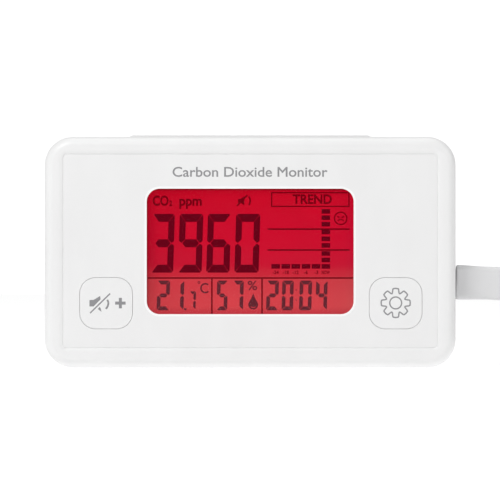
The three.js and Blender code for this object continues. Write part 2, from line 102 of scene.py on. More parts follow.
# ---- Node helpers for the procedural materials ----
class Nodes:
    """A material's node tree with short calls for the nodes that the looks share."""

    def __init__(self, name):
        self.material = bpy.data.materials.new(name)
        self.material.use_nodes = True
        self.tree = self.material.node_tree
        self.shader = self.tree.nodes["Principled BSDF"]
        self.where = self.add("ShaderNodeTexCoord").outputs["Object"]

    def add(self, kind, **settings):
        node = self.tree.nodes.new(kind)
        for key, value in settings.items():
            setattr(node, key, value)
        return node

    def link(self, source, target):
        self.tree.links.new(source, target)

    def set(self, **values):
        """Sets the shader's own sockets, named with _ for each space."""
        for key, value in values.items():
            self.shader.inputs[key.replace("_", " ")].default_value = value

    def noise(self, size, detail=2.0, rough=0.5, stretch=None):
        """Noise whose lumps are about size metres across."""
        node = self.add("ShaderNodeTexNoise")
        node.inputs["Scale"].default_value = 1 / size
        node.inputs["Detail"].default_value = detail
        node.inputs["Roughness"].default_value = rough
        source = self.where
        if stretch:
            mapping = self.add("ShaderNodeMapping")
            mapping.inputs["Scale"].default_value = stretch
            self.link(source, mapping.inputs["Vector"])
            source = mapping.outputs["Vector"]
        self.link(source, node.inputs["Vector"])
        return node.outputs["Fac"]

    def spread(self, source, low, high):
        """Maps the middle of a noise's range to low..high."""
        node = self.add("ShaderNodeMapRange")
        for name, value in (("From Min", 0.3), ("From Max", 0.7), ("To Min", low), ("To Max", high)):
            node.inputs[name].default_value = value
        self.link(source, node.inputs["Value"])
        return node.outputs["Result"]

    def mix(self, factor, first, second, blend="MIX"):
        node = self.add("ShaderNodeMix", data_type="RGBA", blend_type=blend)
        for name, value in (("Factor", factor), ("A", first), ("B", second)):
            socket = next(s for s in node.inputs if s.name == name and s.enabled)
            if isinstance(value, bpy.types.NodeSocket):
                self.link(value, socket)
            elif name == "Factor":
                socket.default_value = value
            else:
                socket.default_value = (*value, 1)
        return next(s for s in node.outputs if s.enabled)

    def colour(self, source, first, second, socket="Base Color"):
        """Mottles the surface between two colours with a noise."""
        self.link(self.mix(self.spread(source, 0, 1), first, second), self.shader.inputs[socket])

    def rough(self, source, low, high):
        """Varies the roughness between two with a noise."""
        self.link(self.spread(source, low, high), self.shader.inputs["Roughness"])

    def bump(self, height, strength, depth):
        node = self.add("ShaderNodeBump")
        node.inputs["Strength"].default_value = strength
        node.inputs["Distance"].default_value = depth
        self.link(height, node.inputs["Height"])
        self.link(node.outputs["Normal"], self.shader.inputs["Normal"])


def rgb(r, g, b):
    """A colour given in 0..255 display values, as linear light."""
    out = []
    for value in (r, g, b):
        c = value / 255
        out.append(c / 12.92 if c <= 0.04045 else ((c + 0.055) / 1.055) ** 2.4)
    return tuple(out)


def shade(colour, k):
    return tuple(min(1.0, c * k) for c in colour)


def moulded(name, colour, rough, grain, depth, vary=0.03):
    """Injection-moulded plastic: a fine grain, faint flow marks and a slight change of gloss."""
    n = Nodes(name)
    flow = n.noise(14 * MM, 3, 0.5, (1, 1, 0.45))
    n.colour(flow, shade(colour, 1 - vary), colour)
    fine = n.noise(grain, 3, 0.6)
    n.rough(fine, rough - 0.05, rough + 0.06)
    n.bump(fine, 0.35, depth)
    return n.material


def metal(name, colour, rough=0.28):
    """Plated sheet metal with a drawn grain and faint stains."""
    n = Nodes(name)
    stain = n.noise(3 * MM, 4, 0.6)
    n.colour(stain, shade(colour, 0.82), colour)
    grain = n.noise(0.25 * MM, 3, 0.6, (1, 1, 12))
    n.rough(grain, rough - 0.08, rough + 0.1)
    n.bump(grain, 0.25, 0.004 * MM)
    n.set(Metallic=1.0)
    return n.material


def clear_pane(name, tint, rough, ior):
    """Clear acrylic with a trace of handling marks in its polish."""
    n = Nodes(name)
    marks = n.noise(4 * MM, 5, 0.65)
    n.rough(marks, rough * 0.4, rough)
    n.set(Base_Color=(*tint, 1), Transmission_Weight=1.0, IOR=ior)
    return n.material


def thin_pane(name, body, rough):
    """A thin clear cover that lets light straight through: body is the small part it holds back."""
    n = Nodes(name)
    marks = n.noise(4 * MM, 5, 0.65)
    n.rough(marks, rough * 0.4, rough)
    n.set(Base_Color=(0.0, 0.0, 0.0, 1), Alpha=body, IOR=1.49)
    return n.material


def soft_pvc(name, colour, rough=0.5):
    """Soft cable plastic: matt, a little waxy, with fine drag lines and dust-like speckle."""
    n = Nodes(name)
    cloud = n.noise(9 * MM, 3, 0.5)
    n.colour(cloud, shade(colour, 0.965), colour)
    fine = n.noise(0.28 * MM, 4, 0.7)
    n.rough(fine, rough - 0.06, rough + 0.08)
    n.bump(fine, 0.3, 0.008 * MM)
    n.set(Specular_IOR_Level=0.4, Sheen_Weight=0.05)
    return n.material


def circuit_board(name):
    """Glass-epoxy board: green mask, woven glass under it, and lighter copper tracks."""
    n = Nodes(name)
    tracks = n.add("ShaderNodeTexBrick")
    for key, value in (("Scale", 260.0), ("Mortar Size", 0.035), ("Brick Width", 1.7), ("Row Height", 0.5)):
        tracks.inputs[key].default_value = value
    turn = n.add("ShaderNodeMapping")
    turn.inputs["Rotation"].default_value = (math.radians(90), 0, 0)
    n.link(n.where, turn.inputs["Vector"])
    n.link(turn.outputs["Vector"], tracks.inputs["Vector"])
    weave = n.noise(0.6 * MM, 2, 0.5)
    mask = n.mix(n.spread(weave, 0, 1), (0.012, 0.1, 0.035), (0.018, 0.14, 0.05))
    n.link(n.mix(tracks.outputs["Fac"], mask, (0.05, 0.26, 0.1)), n.shader.inputs["Base Color"])
    n.rough(weave, 0.3, 0.42)
    n.bump(tracks.outputs["Fac"], 0.4, 0.02 * MM)
    return n.material


def printed_ink(name, colour):
    """Pad-printed ink: matt, slightly uneven in density."""
    n = Nodes(name)
    patch = n.noise(0.5 * MM, 3, 0.6)
    n.colour(patch, colour, shade(colour, 1.1))
    n.rough(patch, 0.45, 0.6)
    return n.material


# ---- Mesh helpers. Shapes are worked in millimetres and stored in metres ----
def rect_ring(width, height, radius, x, z, y, corner_steps=12):
    """A rounded rectangle at depth y, counter-clockwise seen from the front."""
    radius = max(radius, 0.02)
    ring = []
    for i, (sx, sz) in enumerate(((1, -1), (1, 1), (-1, 1), (-1, -1))):
        cx = x + sx * (width / 2 - radius)
        cz = z + sz * (height / 2 - radius)
        for step in range(corner_steps + 1):
            angle = math.radians(-90 + 90 * i + 90 * step / corner_steps)
            ring.append((cx + radius * math.cos(angle), y, cz + radius * math.sin(angle)))
    return ring


def as_object(name, bm):
    mesh = bpy.data.meshes.new(name)
    bm.to_mesh(mesh)
    bm.free()
    return placed(name, mesh)


def loft(name, rings, closed=False):
    """A skin over rings with the same number of points, capped at both ends or joined end to end."""
    bm = bmesh.new()
    rows = [[bm.verts.new(Vector(p) * MM) for p in ring] for ring in rings]
    pairs = list(zip(rows, rows[1:]))
    if closed:
        pairs.append((rows[-1], rows[0]))
    else:
        bm.faces.new(rows[0])
        bm.faces.new(rows[-1])
    for a, b in pairs:
        for i in range(len(a)):
            j = (i + 1) % len(a)
            bm.faces.new((a[i], a[j], b[j], b[i]))
    bmesh.ops.recalc_face_normals(bm, faces=bm.faces)
    return as_object(name, bm)


def merged(name, objects):
    """Joins objects that don't touch into one mesh and removes them."""
    bm = bmesh.new()
    for obj in objects:
        bm.from_mesh(obj.data)
        drop(obj)
    return as_object(name, bm)


def drop(obj):
    mesh = obj.data
    bpy.data.objects.remove(obj)
    bpy.data.meshes.remove(mesh)


def boolean(obj, tool, operation):
    modifier = obj.modifiers.new("cut", "BOOLEAN")
    modifier.operation = operation
    modifier.solver = "EXACT"
    modifier.object = tool
    bpy.context.view_layer.update()
    mesh = bpy.data.meshes.new_from_object(obj.evaluated_get(bpy.context.evaluated_depsgraph_get()))
    obj.modifiers.clear()
    old = obj.data
    obj.data = mesh
    mesh.name = obj.name
    bpy.data.meshes.remove(old)
    drop(tool)


def cut(obj, tool):
    boolean(obj, tool, "DIFFERENCE")


def join(obj, tool):
    boolean(obj, tool, "UNION")


def smooth(obj, angle=35):
    """Smooth shading with sharp edges kept, and flat faces kept flat beside rounded ones."""
    bm = bmesh.new()
    bm.from_mesh(obj.data)
    bmesh.ops.remove_doubles(bm, verts=bm.verts, dist=1e-7)
    bmesh.ops.dissolve_degenerate(bm, dist=1e-7, edges=bm.edges)
    limit = math.radians(angle)
    for face in bm.faces:
        face.smooth = True
    for edge in bm.edges:
        edge.smooth = edge.is_manifold and edge.calc_face_angle(0) < limit
    bm.to_mesh(obj.data)
    bm.free()
    weighted = obj.modifiers.new("flats", "WEIGHTED_NORMAL")
    weighted.keep_sharp = True
    weighted.weight = 80
    return obj


def arc(steps):
    """Fractions of a quarter turn, from 0 to 1, as (1 - cos, sin)."""
    for i in range(steps + 1):
        angle = math.pi / 2 * i / steps
        yield 1 - math.cos(angle), math.sin(angle)


def pillow_rings(width, height, radius, x, z, front, rear, front_edge, rear_edge, steps=4, corner_steps=12):
    """Rings of a slab with rounded front and rear edges, with a support ring inside each flat face."""
    rings = []

    def ring(inset, y):
        wide, high = width - 2 * inset, height - 2 * inset
        rings.append(rect_ring(wide, high, radius - inset, x, z, y, corner_steps))

    if front_edge:
        ring(front_edge * 1.5, front)
        for out, along in reversed(list(arc(steps))):
            ring(front_edge * out, front + front_edge * (1 - along))
    else:
        ring(0, front)
    if rear_edge:
        for out, along in arc(steps):
            ring(rear_edge * out, rear - rear_edge * (1 - along))
        ring(rear_edge * 1.5, rear)
    else:
        ring(0, rear)
    return rings


def pillow(name, *args, **kwargs):
    return loft(name, pillow_rings(*args, **kwargs))


def lathe_rings(profile, axis, centre, steps=32):
    """Rings of a body turned round an axis ("x", "y" or "z"); profile is (radius, place along the axis)."""
    rings = []
    for radius, along in profile:
        ring = []
        for i in range(steps):
            angle = 2 * math.pi * i / steps
            a, b = max(radius, 0.01) * math.cos(angle), max(radius, 0.01) * math.sin(angle)
            place = {"x": (along, a, b), "y": (a, along, b), "z": (a, b, along)}[axis]
            ring.append(Vector(centre) + Vector(place))
        rings.append(ring)
    return rings


def lathe(name, profile, axis, centre, steps=32):
    return loft(name, lathe_rings(profile, axis, centre, steps))


INK_THICK = 0.02


def flat_print(name, loops, y):
    """A filled outline with holes, standing on the plane at depth y towards the front."""
    data = bpy.data.curves.new(name, "CURVE")
    data.dimensions = "2D"
    data.fill_mode = "BOTH"
    data.extrude = INK_THICK / 2 * MM
    for loop in loops:
        spline = data.splines.new("POLY")
        spline.points.add(len(loop) - 1)
        spline.use_cyclic_u = True
        for point, (x, z) in zip(spline.points, loop):
            point.co = (x * MM, z * MM, 0, 1)
    return upright(name, data, y - INK_THICK / 2)


def upright(name, data, y):
    """Turns a flat curve or text into a mesh that stands in the XZ plane at depth y."""
    source = placed(name, data)
    bpy.context.view_layer.update()
    mesh = bpy.data.meshes.new_from_object(source.evaluated_get(bpy.context.evaluated_depsgraph_get()))
    bpy.data.objects.remove(source)
    for vertex in mesh.vertices:
        x, z, out = vertex.co
        vertex.co = (x, y * MM - out, z)
    return placed(name, mesh)


def lettering(name, text, left, base, cap, y, width, bold):
    """Text whose capitals are cap millimetres high, stretched to width. bold thickens its strokes."""
    data = bpy.data.curves.new(name, "FONT")
    data.body = text
    data.size = 10 * MM
    data.extrude = INK_THICK / 2 * MM
    data.bevel_depth = bold * MM
    data.bevel_resolution = 0
    data.resolution_u = 4
    obj = upright(name, data, 0)
    xs = [v.co.x for v in obj.data.vertices]
    reference = bpy.data.curves.new("cap", "FONT")
    reference.body = "H"
    reference.size = 10 * MM
    measure = upright("cap", reference, 0)
    tall = max(v.co.z for v in measure.data.vertices)
    drop(measure)
    scale_z = cap * MM / tall
    scale_x = width * MM / (max(xs) - min(xs))
    start = min(xs)
    flatten = INK_THICK / 2 / (INK_THICK / 2 + bold)
    for vertex in obj.data.vertices:
        vertex.co.x = (vertex.co.x - start) * scale_x + left * MM
        vertex.co.y = vertex.co.y * flatten + (y - INK_THICK / 2) * MM
        vertex.co.z = vertex.co.z * scale_z + base * MM
    return obj


def dress(obj, look, body, slot, *nodes):
    """Gives a piece its material and body, and hides the CAD nodes that it stands for; slot is not used."""
    obj.data.materials.clear()
    obj.data.materials.append(look)
    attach(obj, body)
    if nodes:
        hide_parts(*nodes)
    return obj


# ---- The looks ----
WHITE = rgb(240, 240, 240)
CASE_LOOK = moulded("case_white", WHITE, 0.38, 0.5 * MM, 0.003 * MM)
PANEL_LOOK = moulded("panel_white", rgb(239, 239, 239), 0.4, 0.4 * MM, 0.003 * MM)
# The window's bead gets whiter plastic than the panel round it: a painted highlight.
RIM_HIGHLIGHT_LOOK = moulded("rim_white_painted_highlight", (0.97, 0.97, 0.97), 0.35, 0.4 * MM, 0.002 * MM, 0.01)
BUTTON_LOOK = moulded("button_white", rgb(239, 239, 239), 0.4, 0.4 * MM, 0.003 * MM)
BLACK_LOOK = moulded("black_plastic", rgb(34, 34, 36), 0.5, 0.3 * MM, 0.006 * MM, 0.25)
STEEL_LOOK = metal("nickel_plate", (0.62, 0.61, 0.59))
GOLD_LOOK = metal("gold_plate", (0.83, 0.63, 0.3), 0.2)
CLEAR_LOOK = thin_pane("clear_acrylic", 0.045, 0.06)
GUIDE_LOOK = clear_pane("light_guide_acrylic", (0.96, 0.98, 0.98), 0.2, 1.49)
SHEET_LOOK = moulded("white_sheet", rgb(236, 236, 232), 0.65, 0.2 * MM, 0.004 * MM, 0.04)
BOARD_LOOK = circuit_board("circuit_board")
LAMP_LOOK = clear_pane("lamp_glass", (1.0, 0.93, 0.75), 0.12, 1.45)
GRIP_LOOK = soft_pvc("grip_grey", rgb(222, 222, 223))
CABLE_LOOK = soft_pvc("cable_grey", rgb(222, 222, 223), 0.46)
INK_LOOK = printed_ink("grey_ink", rgb(140, 140, 142))
RUBBER_LOOK = soft_pvc("tie_black", rgb(36, 36, 38), 0.7)


# ---- Case ----
def outline_ring(inset, y):
    """The case's outline, drawn in by inset."""
    return rect_ring(CASE_W - 2 * inset, CASE_H - 2 * inset, CORNER - inset, 0, MID_Z, y, 16)


def recess_ring(grow, y):
    """The outline of the panel's recess, let out by grow."""
    return rect_ring(PANEL_W + 2 * grow, PANEL_H + 2 * grow, 1.3 + grow, 0, PANEL_Z, y, 16)


def rounded_prism(x, z, width, height, radius, front, rear, flare=0.0, flare_at="front", steps=8):
    """A cutter whose mouth at one end opens out in a small rounded lip."""
    rings = []
    end, other = (front, rear) if flare_at == "front" else (rear, front)
    into = 1 if other > end else -1

    def ring(grow, y):
        rings.append(rect_ring(width + 2 * grow, height + 2 * grow, radius + grow, x, z, y, steps))

    ring(flare, end - into)
    if flare:
        for out, along in reversed(list(arc(3))):
            ring(flare * out, end + into * flare * (1 - along))
    ring(0, other)
    return loft("cutter", rings)


def front_shell():
    inner_side, inner_radius, outer_side = 1.7, 2.9, 3
    chamfer = 0.2
    rings = [recess_ring(-1, FLOOR_FACE), recess_ring(-0.04, FLOOR_FACE), recess_ring(-0.04, PANEL_Y + 0.03)]
    steps = 8
    for i in range(steps + 1):
        grow = inner_side * i / steps
        sink = inner_radius - math.sqrt(inner_radius**2 - (inner_side - grow) ** 2)
        rings.append(recess_ring(grow, FACE_Y + sink))
    for out, along in reversed(list(arc(14))):
        rings.append(outline_ring(outer_side * out, FACE_Y + EDGE * (1 - along)))
    rings.append(outline_ring(0, -2 * chamfer))
    rings.append(outline_ring(0, -chamfer))
    rings.append(outline_ring(chamfer, 0))
    rings.append(outline_ring(WALL, 0))
    cavity_edge = EDGE - WALL
    for out, along in arc(4):
        rings.append(outline_ring(WALL + cavity_edge * out, FLOOR_BACK + cavity_edge * (1 - along)))
    shell = loft("case_front", rings)
    front, rear = -16, -9
    window = (WINDOW_W + 2, WINDOW_H + 2, WINDOW_R + 1)
    opening = rounded_prism(0, WINDOW_Z, *window, front, rear, steps=12)
    well = (BUTTON_W + 0.6, BUTTON_H + 0.6, BUTTON_R + 0.3)
    wells = [rounded_prism(x, BUTTON_Z, *well, front, rear, steps=12) for x in BUTTON_X.values()]
    corners = [(y, SOCKET_Z + z) for y, z in ((-3.8, -4.5), (1, -4.5), (1, 4.5), (-3.8, 4.5))]
    notch = loft("cutter", [[(x, y, z) for y, z in corners] for x in (60, 70)])
    cut(shell, merged("cutters", [opening, *wells, notch]))
    return smooth(shell)


def slot_cutters():
    """Round-ended air slots in the rear wall and through the strip on top."""
    cutters = []
    pitch, count = 4.8, 15
    for i in range(count):
        x = (i - (count - 1) / 2) * pitch
        cutters.append(rounded_prism(x, 61.3, 2, 9, 0.98, 11, BACK_Y, 0.35, "rear"))
        top = rounded_prism(x, 5.3, 2, 6, 0.98, -REAR_HIGH.z, -69, 0.3, "front")
        for vertex in top.data.vertices:
            vx, vy, vz = vertex.co
            vertex.co = (vx, vz, -vy)
        cutters.append(top)
    for side in (-1, 1):
        for i in range(6):
            cutters.append(rounded_prism(side * 48, 22 + 5 * i, 16, 2, 0.98, 11, BACK_Y, 0.35, "rear"))
    return cutters


def block_mesh(name, low, high):
    x0, y0, z0 = low
    x1, y1, z1 = high
    ends = [[(x, y0, z0), (x, y1, z0), (x, y1, z1), (x, y0, z1)] for x in (x0, x1)]
    return loft(name, ends)


def top_strip():
    """The low pad along the top that carries the upper air slots, with eased ends."""
    foot, run, rise, low = 39.6, 2.2, REAR_HIGH.z - CASE_H, CASE_H - 1

    def ring(y, down):
        turns = [t / 6 for t in range(7)]
        top = rise - down
        slope = [(foot - run * t, CASE_H - 0.02 + top * (1 - math.cos(math.pi * t)) / 2) for t in turns]
        right = [(x, y, z) for x, z in slope]
        left = [(-x, y, z) for x, z in reversed(slope)]
        return [(foot, y, low), *right, *left, (-foot, y, low)]

    return loft("strip", [ring(1.5, 0.35), ring(1.62, 0.12), ring(1.9, 0), ring(8.6, 0), ring(9, 0.3)])


SCREW_X, SCREW_LOW_Z, SCREW_HIGH_Z, SCREW_SEAT = 57, 8.5, 64.5, 6
SCREW_SPOTS = [(-SCREW_X, SCREW_LOW_Z), (SCREW_X, SCREW_LOW_Z)]
SCREW_SPOTS += [(SCREW_X, SCREW_HIGH_Z), (-SCREW_X, SCREW_HIGH_Z)]
STAND_W, STAND_TOP, PIN_Y, PIN_Z, BARREL, STAND_THICK = 61.2, 51.4, 12.1, 3.6, 1.75, 2.25


def rear_shell():
    chamfer, seam = 0.2, 0.2
    rings = [outline_ring(EDGE + 0.4, BACK_Y)]
    for out, along in reversed(list(arc(14))):
        rings.append(outline_ring(EDGE * out, BACK_Y - EDGE * (1 - along)))
    flank = [(0, seam + 2 * chamfer), (0, seam + chamfer), (chamfer, seam), (2.2, seam), (2.2, -1.3)]
    for inset, y in [*flank, (2.4, -1.5), (3.2, -1.5), (3.2, 1), (WALL, 1.4)]:
        rings.append(outline_ring(inset, y))
    cavity_edge = EDGE - WALL
    inner_back = BACK_Y - WALL
    for out, along in arc(4):
        rings.append(outline_ring(WALL + cavity_edge * out, inner_back - cavity_edge * (1 - along)))
    shell = loft("case_rear", rings)
    join(shell, top_strip())
    join(shell, block_mesh("walls", (-33, 9.2, 1), (33, 12.5, 56)))
    join(shell, block_mesh("ears", (-34, 8, 1), (34, 12.6, 8.2)))
    posts = [lathe("post", [(3.2, 0.3), (3.2, 12.5)], "y", (x, 0, z)) for x, z in SCREW_SPOTS]
    join(shell, merged("posts", posts))
    side = STAND_W / 2 + 0.4
    wells = []
    for x, z in SCREW_SPOTS:
        mouth = [(2.6 + 0.35 * out, BACK_Y - 0.35 * (1 - along)) for out, along in arc(3)]
        profile = [(1.3, -1), (1.3, SCREW_SEAT), (2.6, SCREW_SEAT), *mouth, (2.95, BACK_Y + 1)]
        wells.append(lathe("well", profile, "y", (x, 0, z)))
    cut(shell, merged("wells", wells))
    pocket_high = STAND_TOP + 0.6
    pocket = rounded_prism(0, pocket_high / 2 - 5, 2 * side, pocket_high + 10, 1, 11.2, BACK_Y, 0.3, "rear")
    cut(shell, pocket)
    cut(shell, rounded_prism(0, 52, 18, 6, 2.9, 11.2, BACK_Y, 0.5, "rear", 10))
    cut(shell, block_mesh("relief", (-side, 10, -1), (side, 15, 6.2)))
    cut(shell, lathe("pin", [(1.2, -side - 1.8), (1.2, side + 1.8)], "x", (0, PIN_Y, PIN_Z), 24))
    cut(shell, block_mesh("notch", (60, -3.8, SOCKET_Z - 4.5), (70, 0.5, SOCKET_Z + 4.5)))
    cut(shell, block_mesh("lip_notch", (55, -3, SOCKET_Z - 5.2), (62.9, 0.15, SOCKET_Z + 5.2)))
    cut(shell, merged("slots", slot_cutters()))
    return smooth(shell)


def front_panel():
    wide, high = PANEL_W - 2 * PANEL_GAP, PANEL_H - 2 * PANEL_GAP
    rear = PANEL_Y + 0.8
    panel = pillow("front_panel_face", wide, high, 1.23, 0, PANEL_Z, PANEL_Y, rear, 0.08, 0, 3, 8)
    cutters = [rounded_prism(0, WINDOW_Z, WINDOW_W, WINDOW_H, WINDOW_R, PANEL_Y, -10, 0.22, "front", 16)]
    wide, high, radius = BUTTON_W + 2 * BUTTON_GAP, BUTTON_H + 2 * BUTTON_GAP, BUTTON_R + BUTTON_GAP
    for x in BUTTON_X.values():
        cutters.append(rounded_prism(x, BUTTON_Z, wide, high, radius, PANEL_Y, -10, 0.12, "front", 14))
    cut(panel, merged("cutters", cutters))
    return smooth(panel)


def window_rim():
    """The bead that is moulded round the window; its whiter plastic is a painted highlight."""
    rings = []
    for grow, rise in ((0.75, -0.03), (0.6, 0.05), (0.12, 0.05), (0, 0), (0, -0.7), (0.4, -0.7)):
        wide, high = WINDOW_W + 2 * grow, WINDOW_H + 2 * grow
        rings.append(rect_ring(wide, high, WINDOW_R + grow, 0, WINDOW_Z, PANEL_Y - rise, 16))
    return smooth(loft("window_rim", rings, closed=True))


def button(name, x):
    """A cap with a rounded face, a flange behind the panel, and the stem that meets the switch."""
    flange, flange_rear, stem_end = -11.25, -10.25, -9.15
    rings = pillow_rings(BUTTON_W, BUTTON_H, BUTTON_R, x, BUTTON_Z, PANEL_Y, flange, 0.16, 0, 4, 14)
    for y in (flange, flange_rear):
        rings.append(rect_ring(BUTTON_W + 1.4, BUTTON_H + 2.4, BUTTON_R, x, BUTTON_Z, y, 14))
    rings.append(rect_ring(3.2, 3.2, 1.58, x, BUTTON_Z, flange_rear, 14))
    rings.append(rect_ring(3, 3, 1.48, x, BUTTON_Z, stem_end, 14))
    return smooth(loft(name, rings))


def stand():
    plate_rear = PIN_Y + BARREL
    plate_front = plate_rear - STAND_THICK
    tall, middle = STAND_TOP - PIN_Z, (STAND_TOP + PIN_Z) / 2
    plate = pillow("fold_out_stand", STAND_W, tall, 2, 0, middle, plate_front, plate_rear, 0.3, 0.35, 3, 8)
    side = STAND_W / 2
    end = side + 1.6
    profile = [(0.7, -end), (1, -end + 0.3), (1, -side), (BARREL, -side)]
    profile += [(radius, -along) for radius, along in reversed(profile)]
    join(plate, lathe("barrel", profile, "x", (0, PIN_Y, PIN_Z), 36))
    cut(plate, rounded_prism(0, 26, 30, 22, 3, plate_front, plate_rear - 1.2, 0.3, "front", 8))
    front = plate_rear - 0.35
    lines = []
    for i in range(4):
        lines.append(rounded_prism(0, 42 + 1.6 * i, 16, 0.6, 0.28, front, plate_rear, 0, "rear", 4))
    cut(plate, merged("grip_lines", lines))
    return smooth(plate)


dress(front_shell(), CASE_LOOK, "housing", "case_plastic", "front_shell")
dress(rear_shell(), CASE_LOOK, "housing", "case_plastic", "rear_shell")
dress(front_panel(), PANEL_LOOK, "housing", "panel_plastic", "front_panel")
dress(window_rim(), RIM_HIGHLIGHT_LOOK, "housing", "panel_plastic")
for side, name in ((-1, "mute"), (1, "settings")):
    cap = button(name + "_cap", BUTTON_X[side])
    dress(cap, BUTTON_LOOK, name + "_button", "panel_plastic", name + "_button")
dress(stand(), CASE_LOOK, "stand", "case_plastic", "stand")


# ---- Display: a clear pane, the glowing picture behind it, and the dark segments on that ----
def glowing_picture(name):
    """The backlit background: deep red. Painted shade from the window's recess darkens its top, bottom and
    left edges, and a painted reflection makes the bottom row paler and its right end greyer.
    """
    n = Nodes(name)
    split = n.add("ShaderNodeSeparateXYZ")
    n.link(n.where, split.inputs["Vector"])

    def ramp(source, low, high, stops):
        place = n.add("ShaderNodeMapRange")
        for key, value in (("From Min", low * MM), ("From Max", high * MM)):
            place.inputs[key].default_value = value
        n.link(source, place.inputs["Value"])
        node = n.add("ShaderNodeValToRGB")
        node.color_ramp.interpolation = "EASE"
        elements = node.color_ramp.elements
        while len(elements) < len(stops):
            elements.new(0.5)
        for element, (at, colour) in zip(elements, stops):
            element.position = (at - low) / (high - low)
            element.color = (*colour, 1)
        n.link(place.outputs["Result"], node.inputs["Fac"])
        return node.outputs["Color"]

    low, high = WINDOW_Z - WINDOW_H / 2, WINDOW_Z + WINDOW_H / 2
    # Upright: the paler red along the bottom row is a painted reflection, and the darkening at the very top
    # and bottom edges is painted shade under the window's edges.
    stops = [(17.3, rgb(196, 58, 66)), (19.5, rgb(212, 66, 72)), (27.4, rgb(208, 60, 68))]
    stops += [(29.6, rgb(203, 38, 54)), (33.0, rgb(200, 14, 44)), (42.0, rgb(203, 2, 38))]
    stops += [(54.0, rgb(200, 0, 32)), (55.7, rgb(190, 0, 29)), (56.6, rgb(120, 0, 12))]
    upright_colour_shade_and_reflection_ramp = ramp(split.outputs["Z"], low, high, stops)
    # Across: the darkening at the left edge is painted shade from the window's recess, and the greyer right
    # end is a painted reflection.
    stops = [(-32.5, (0.52, 0.6, 0.6)), (-31.6, (0.78, 0.8, 0.8)), (-28.0, (0.93, 0.93, 0.93))]
    stops += [(-14.0, (1.0, 1.0, 1.0)), (20.0, (1.0, 1.0, 1.0))]
    stops += [(29.0, (0.96, 1.1, 1.05)), (32.5, (0.9, 1.2, 1.1))]
    side_shade_and_reflection_ramp = ramp(split.outputs["X"], -WINDOW_W / 2, WINDOW_W / 2, stops)
    cloud = n.noise(11 * MM, 2, 0.4)
    even = n.mix(n.spread(cloud, 0, 1), (0.96, 0.96, 0.96), (1.03, 1.03, 1.03))
    lit = n.mix(1.0, n.mix(1.0, upright_colour_shade_and_reflection_ramp, side_shade_and_reflection_ramp, "MULTIPLY"), even, "MULTIPLY")
    n.link(lit, n.shader.inputs["Emission Color"])
    fine = n.noise(0.3 * MM, 2, 0.5)
    n.colour(fine, (0.05, 0.004, 0.008), (0.06, 0.005, 0.01))
    n.rough(fine, 0.45, 0.55)
    n.set(Emission_Strength=1.0, Specular_IOR_Level=0.0)
    return n.material


def segment_ink(name, colour):
    """A driven segment: dark, with the backlight still showing through it a little."""
    n = Nodes(name)
    patch = n.noise(0.8 * MM, 2, 0.5)
    n.colour(patch, colour, shade(colour, 1.18), "Emission Color")
    n.colour(patch, (0.004, 0.001, 0.001), (0.006, 0.001, 0.002))
    n.rough(patch, 0.45, 0.6)
    n.set(Emission_Strength=1.0, Specular_IOR_Level=0.0)
    return n.material


PICTURE_LOOK = glowing_picture("red_backlight_painted_light")
DARK_LOOK = segment_ink("segment_dark", rgb(99, 0, 20))
# The lower row's segments are greyish red: that grey is the same painted reflection that lies over the lower
# part of the picture.
ROW_LOOK = segment_ink("segment_row", rgb(96, 38, 47))
FAINT_LOOK = segment_ink("segment_faint", rgb(112, 0, 16))
LINE_LOOK = segment_ink("segment_line", rgb(104, 2, 16))
PICTURE_Y = LCD_Y - 0.02
SEGMENT_Y = PICTURE_Y - 0.04


def seven_segments(digit, left, right, low, high, level, side, gap=0.1, slant=0.6):
    """Outlines of a digit's lit bars, level and side thick. slant cuts their corners."""
    w, h, mid = right - left, high - low, (high - low) / 2
    half = level / 2
    notch = slant / 2 - gap * 0.5
    after = slant / 2 + gap * 0.5
    near, far = side + gap, w - side - gap
    top = [(after, h - notch), (slant, h), (w - slant, h), (w - after, h - notch)]
    top += [(w - side - gap * 0.3, h - level), (side + gap * 0.3, h - level)]
    bar = [(side * 0.5 + gap, mid), (near, mid + half), (far, mid + half)]
    bar += [(w - side * 0.5 - gap, mid), (far, mid - half), (near, mid - half)]
    edge = [(notch, h - after), (0, h - slant), (0, mid + half * 0.5 + gap), (side * 0.42, mid + gap)]
    edge += [(side, mid + half + gap * 0.6), (side, h - level - gap * 0.6)]
    shapes = {"a": top, "g": bar, "f": edge, "b": [(w - x, z) for x, z in reversed(edge)]}
    for upper, lower in (("a", "d"), ("b", "c"), ("f", "e")):
        shapes[lower] = [(x, h - z) for x, z in reversed(shapes[upper])]
    slope = LEAN * h
    outlines = []
    for name in DIGIT_BARS[digit]:
        outlines.append([(left + x * (w - slope) / w + LEAN * z, low + z) for x, z in shapes[name]])
    return outlines


# How far a digit leans to the right for each millimetre of its height.
LEAN = 0.03
DIGIT_BARS = {"0": "abcdef", "1": "bc", "2": "abged", "3": "abgcd", "4": "fgbc"}
DIGIT_BARS |= {"5": "afgcd", "6": "afgecd", "7": "abc", "9": "abcdfg"}


def oblong(x0, x1, z0, z1):
    return [(x0, z0), (x1, z0), (x1, z1), (x0, z1)]


def frame_loops(x0, x1, z0, z1, line):
    return [oblong(x0, x1, z0, z1), list(reversed(oblong(x0 + line, x1 - line, z0 + line, z1 - line)))]


def arc_points(x, z, radius, start, end, steps=12):
    points = []
    for i in range(steps + 1):
        angle = math.radians(start + (end - start) * i / steps)
        points.append((x + radius * math.cos(angle), z + radius * math.sin(angle)))
    return points


def circle(x, z, radius, steps=40):
    return arc_points(x, z, radius, 0, 360, steps)[:-1]


def ribbon(points, width):
    """The outline of a line of that width drawn through points, with square ends."""
    left, right = [], []
    for i, (x, z) in enumerate(points):
        ax, az = points[max(i - 1, 0)]
        bx, bz = points[min(i + 1, len(points) - 1)]
        length = math.hypot(bx - ax, bz - az)
        nx, nz = -(bz - az) / length * width / 2, (bx - ax) / length * width / 2
        left.append((x + nx, z + nz))
        right.append((x - nx, z - nz))
    return right + list(reversed(left))


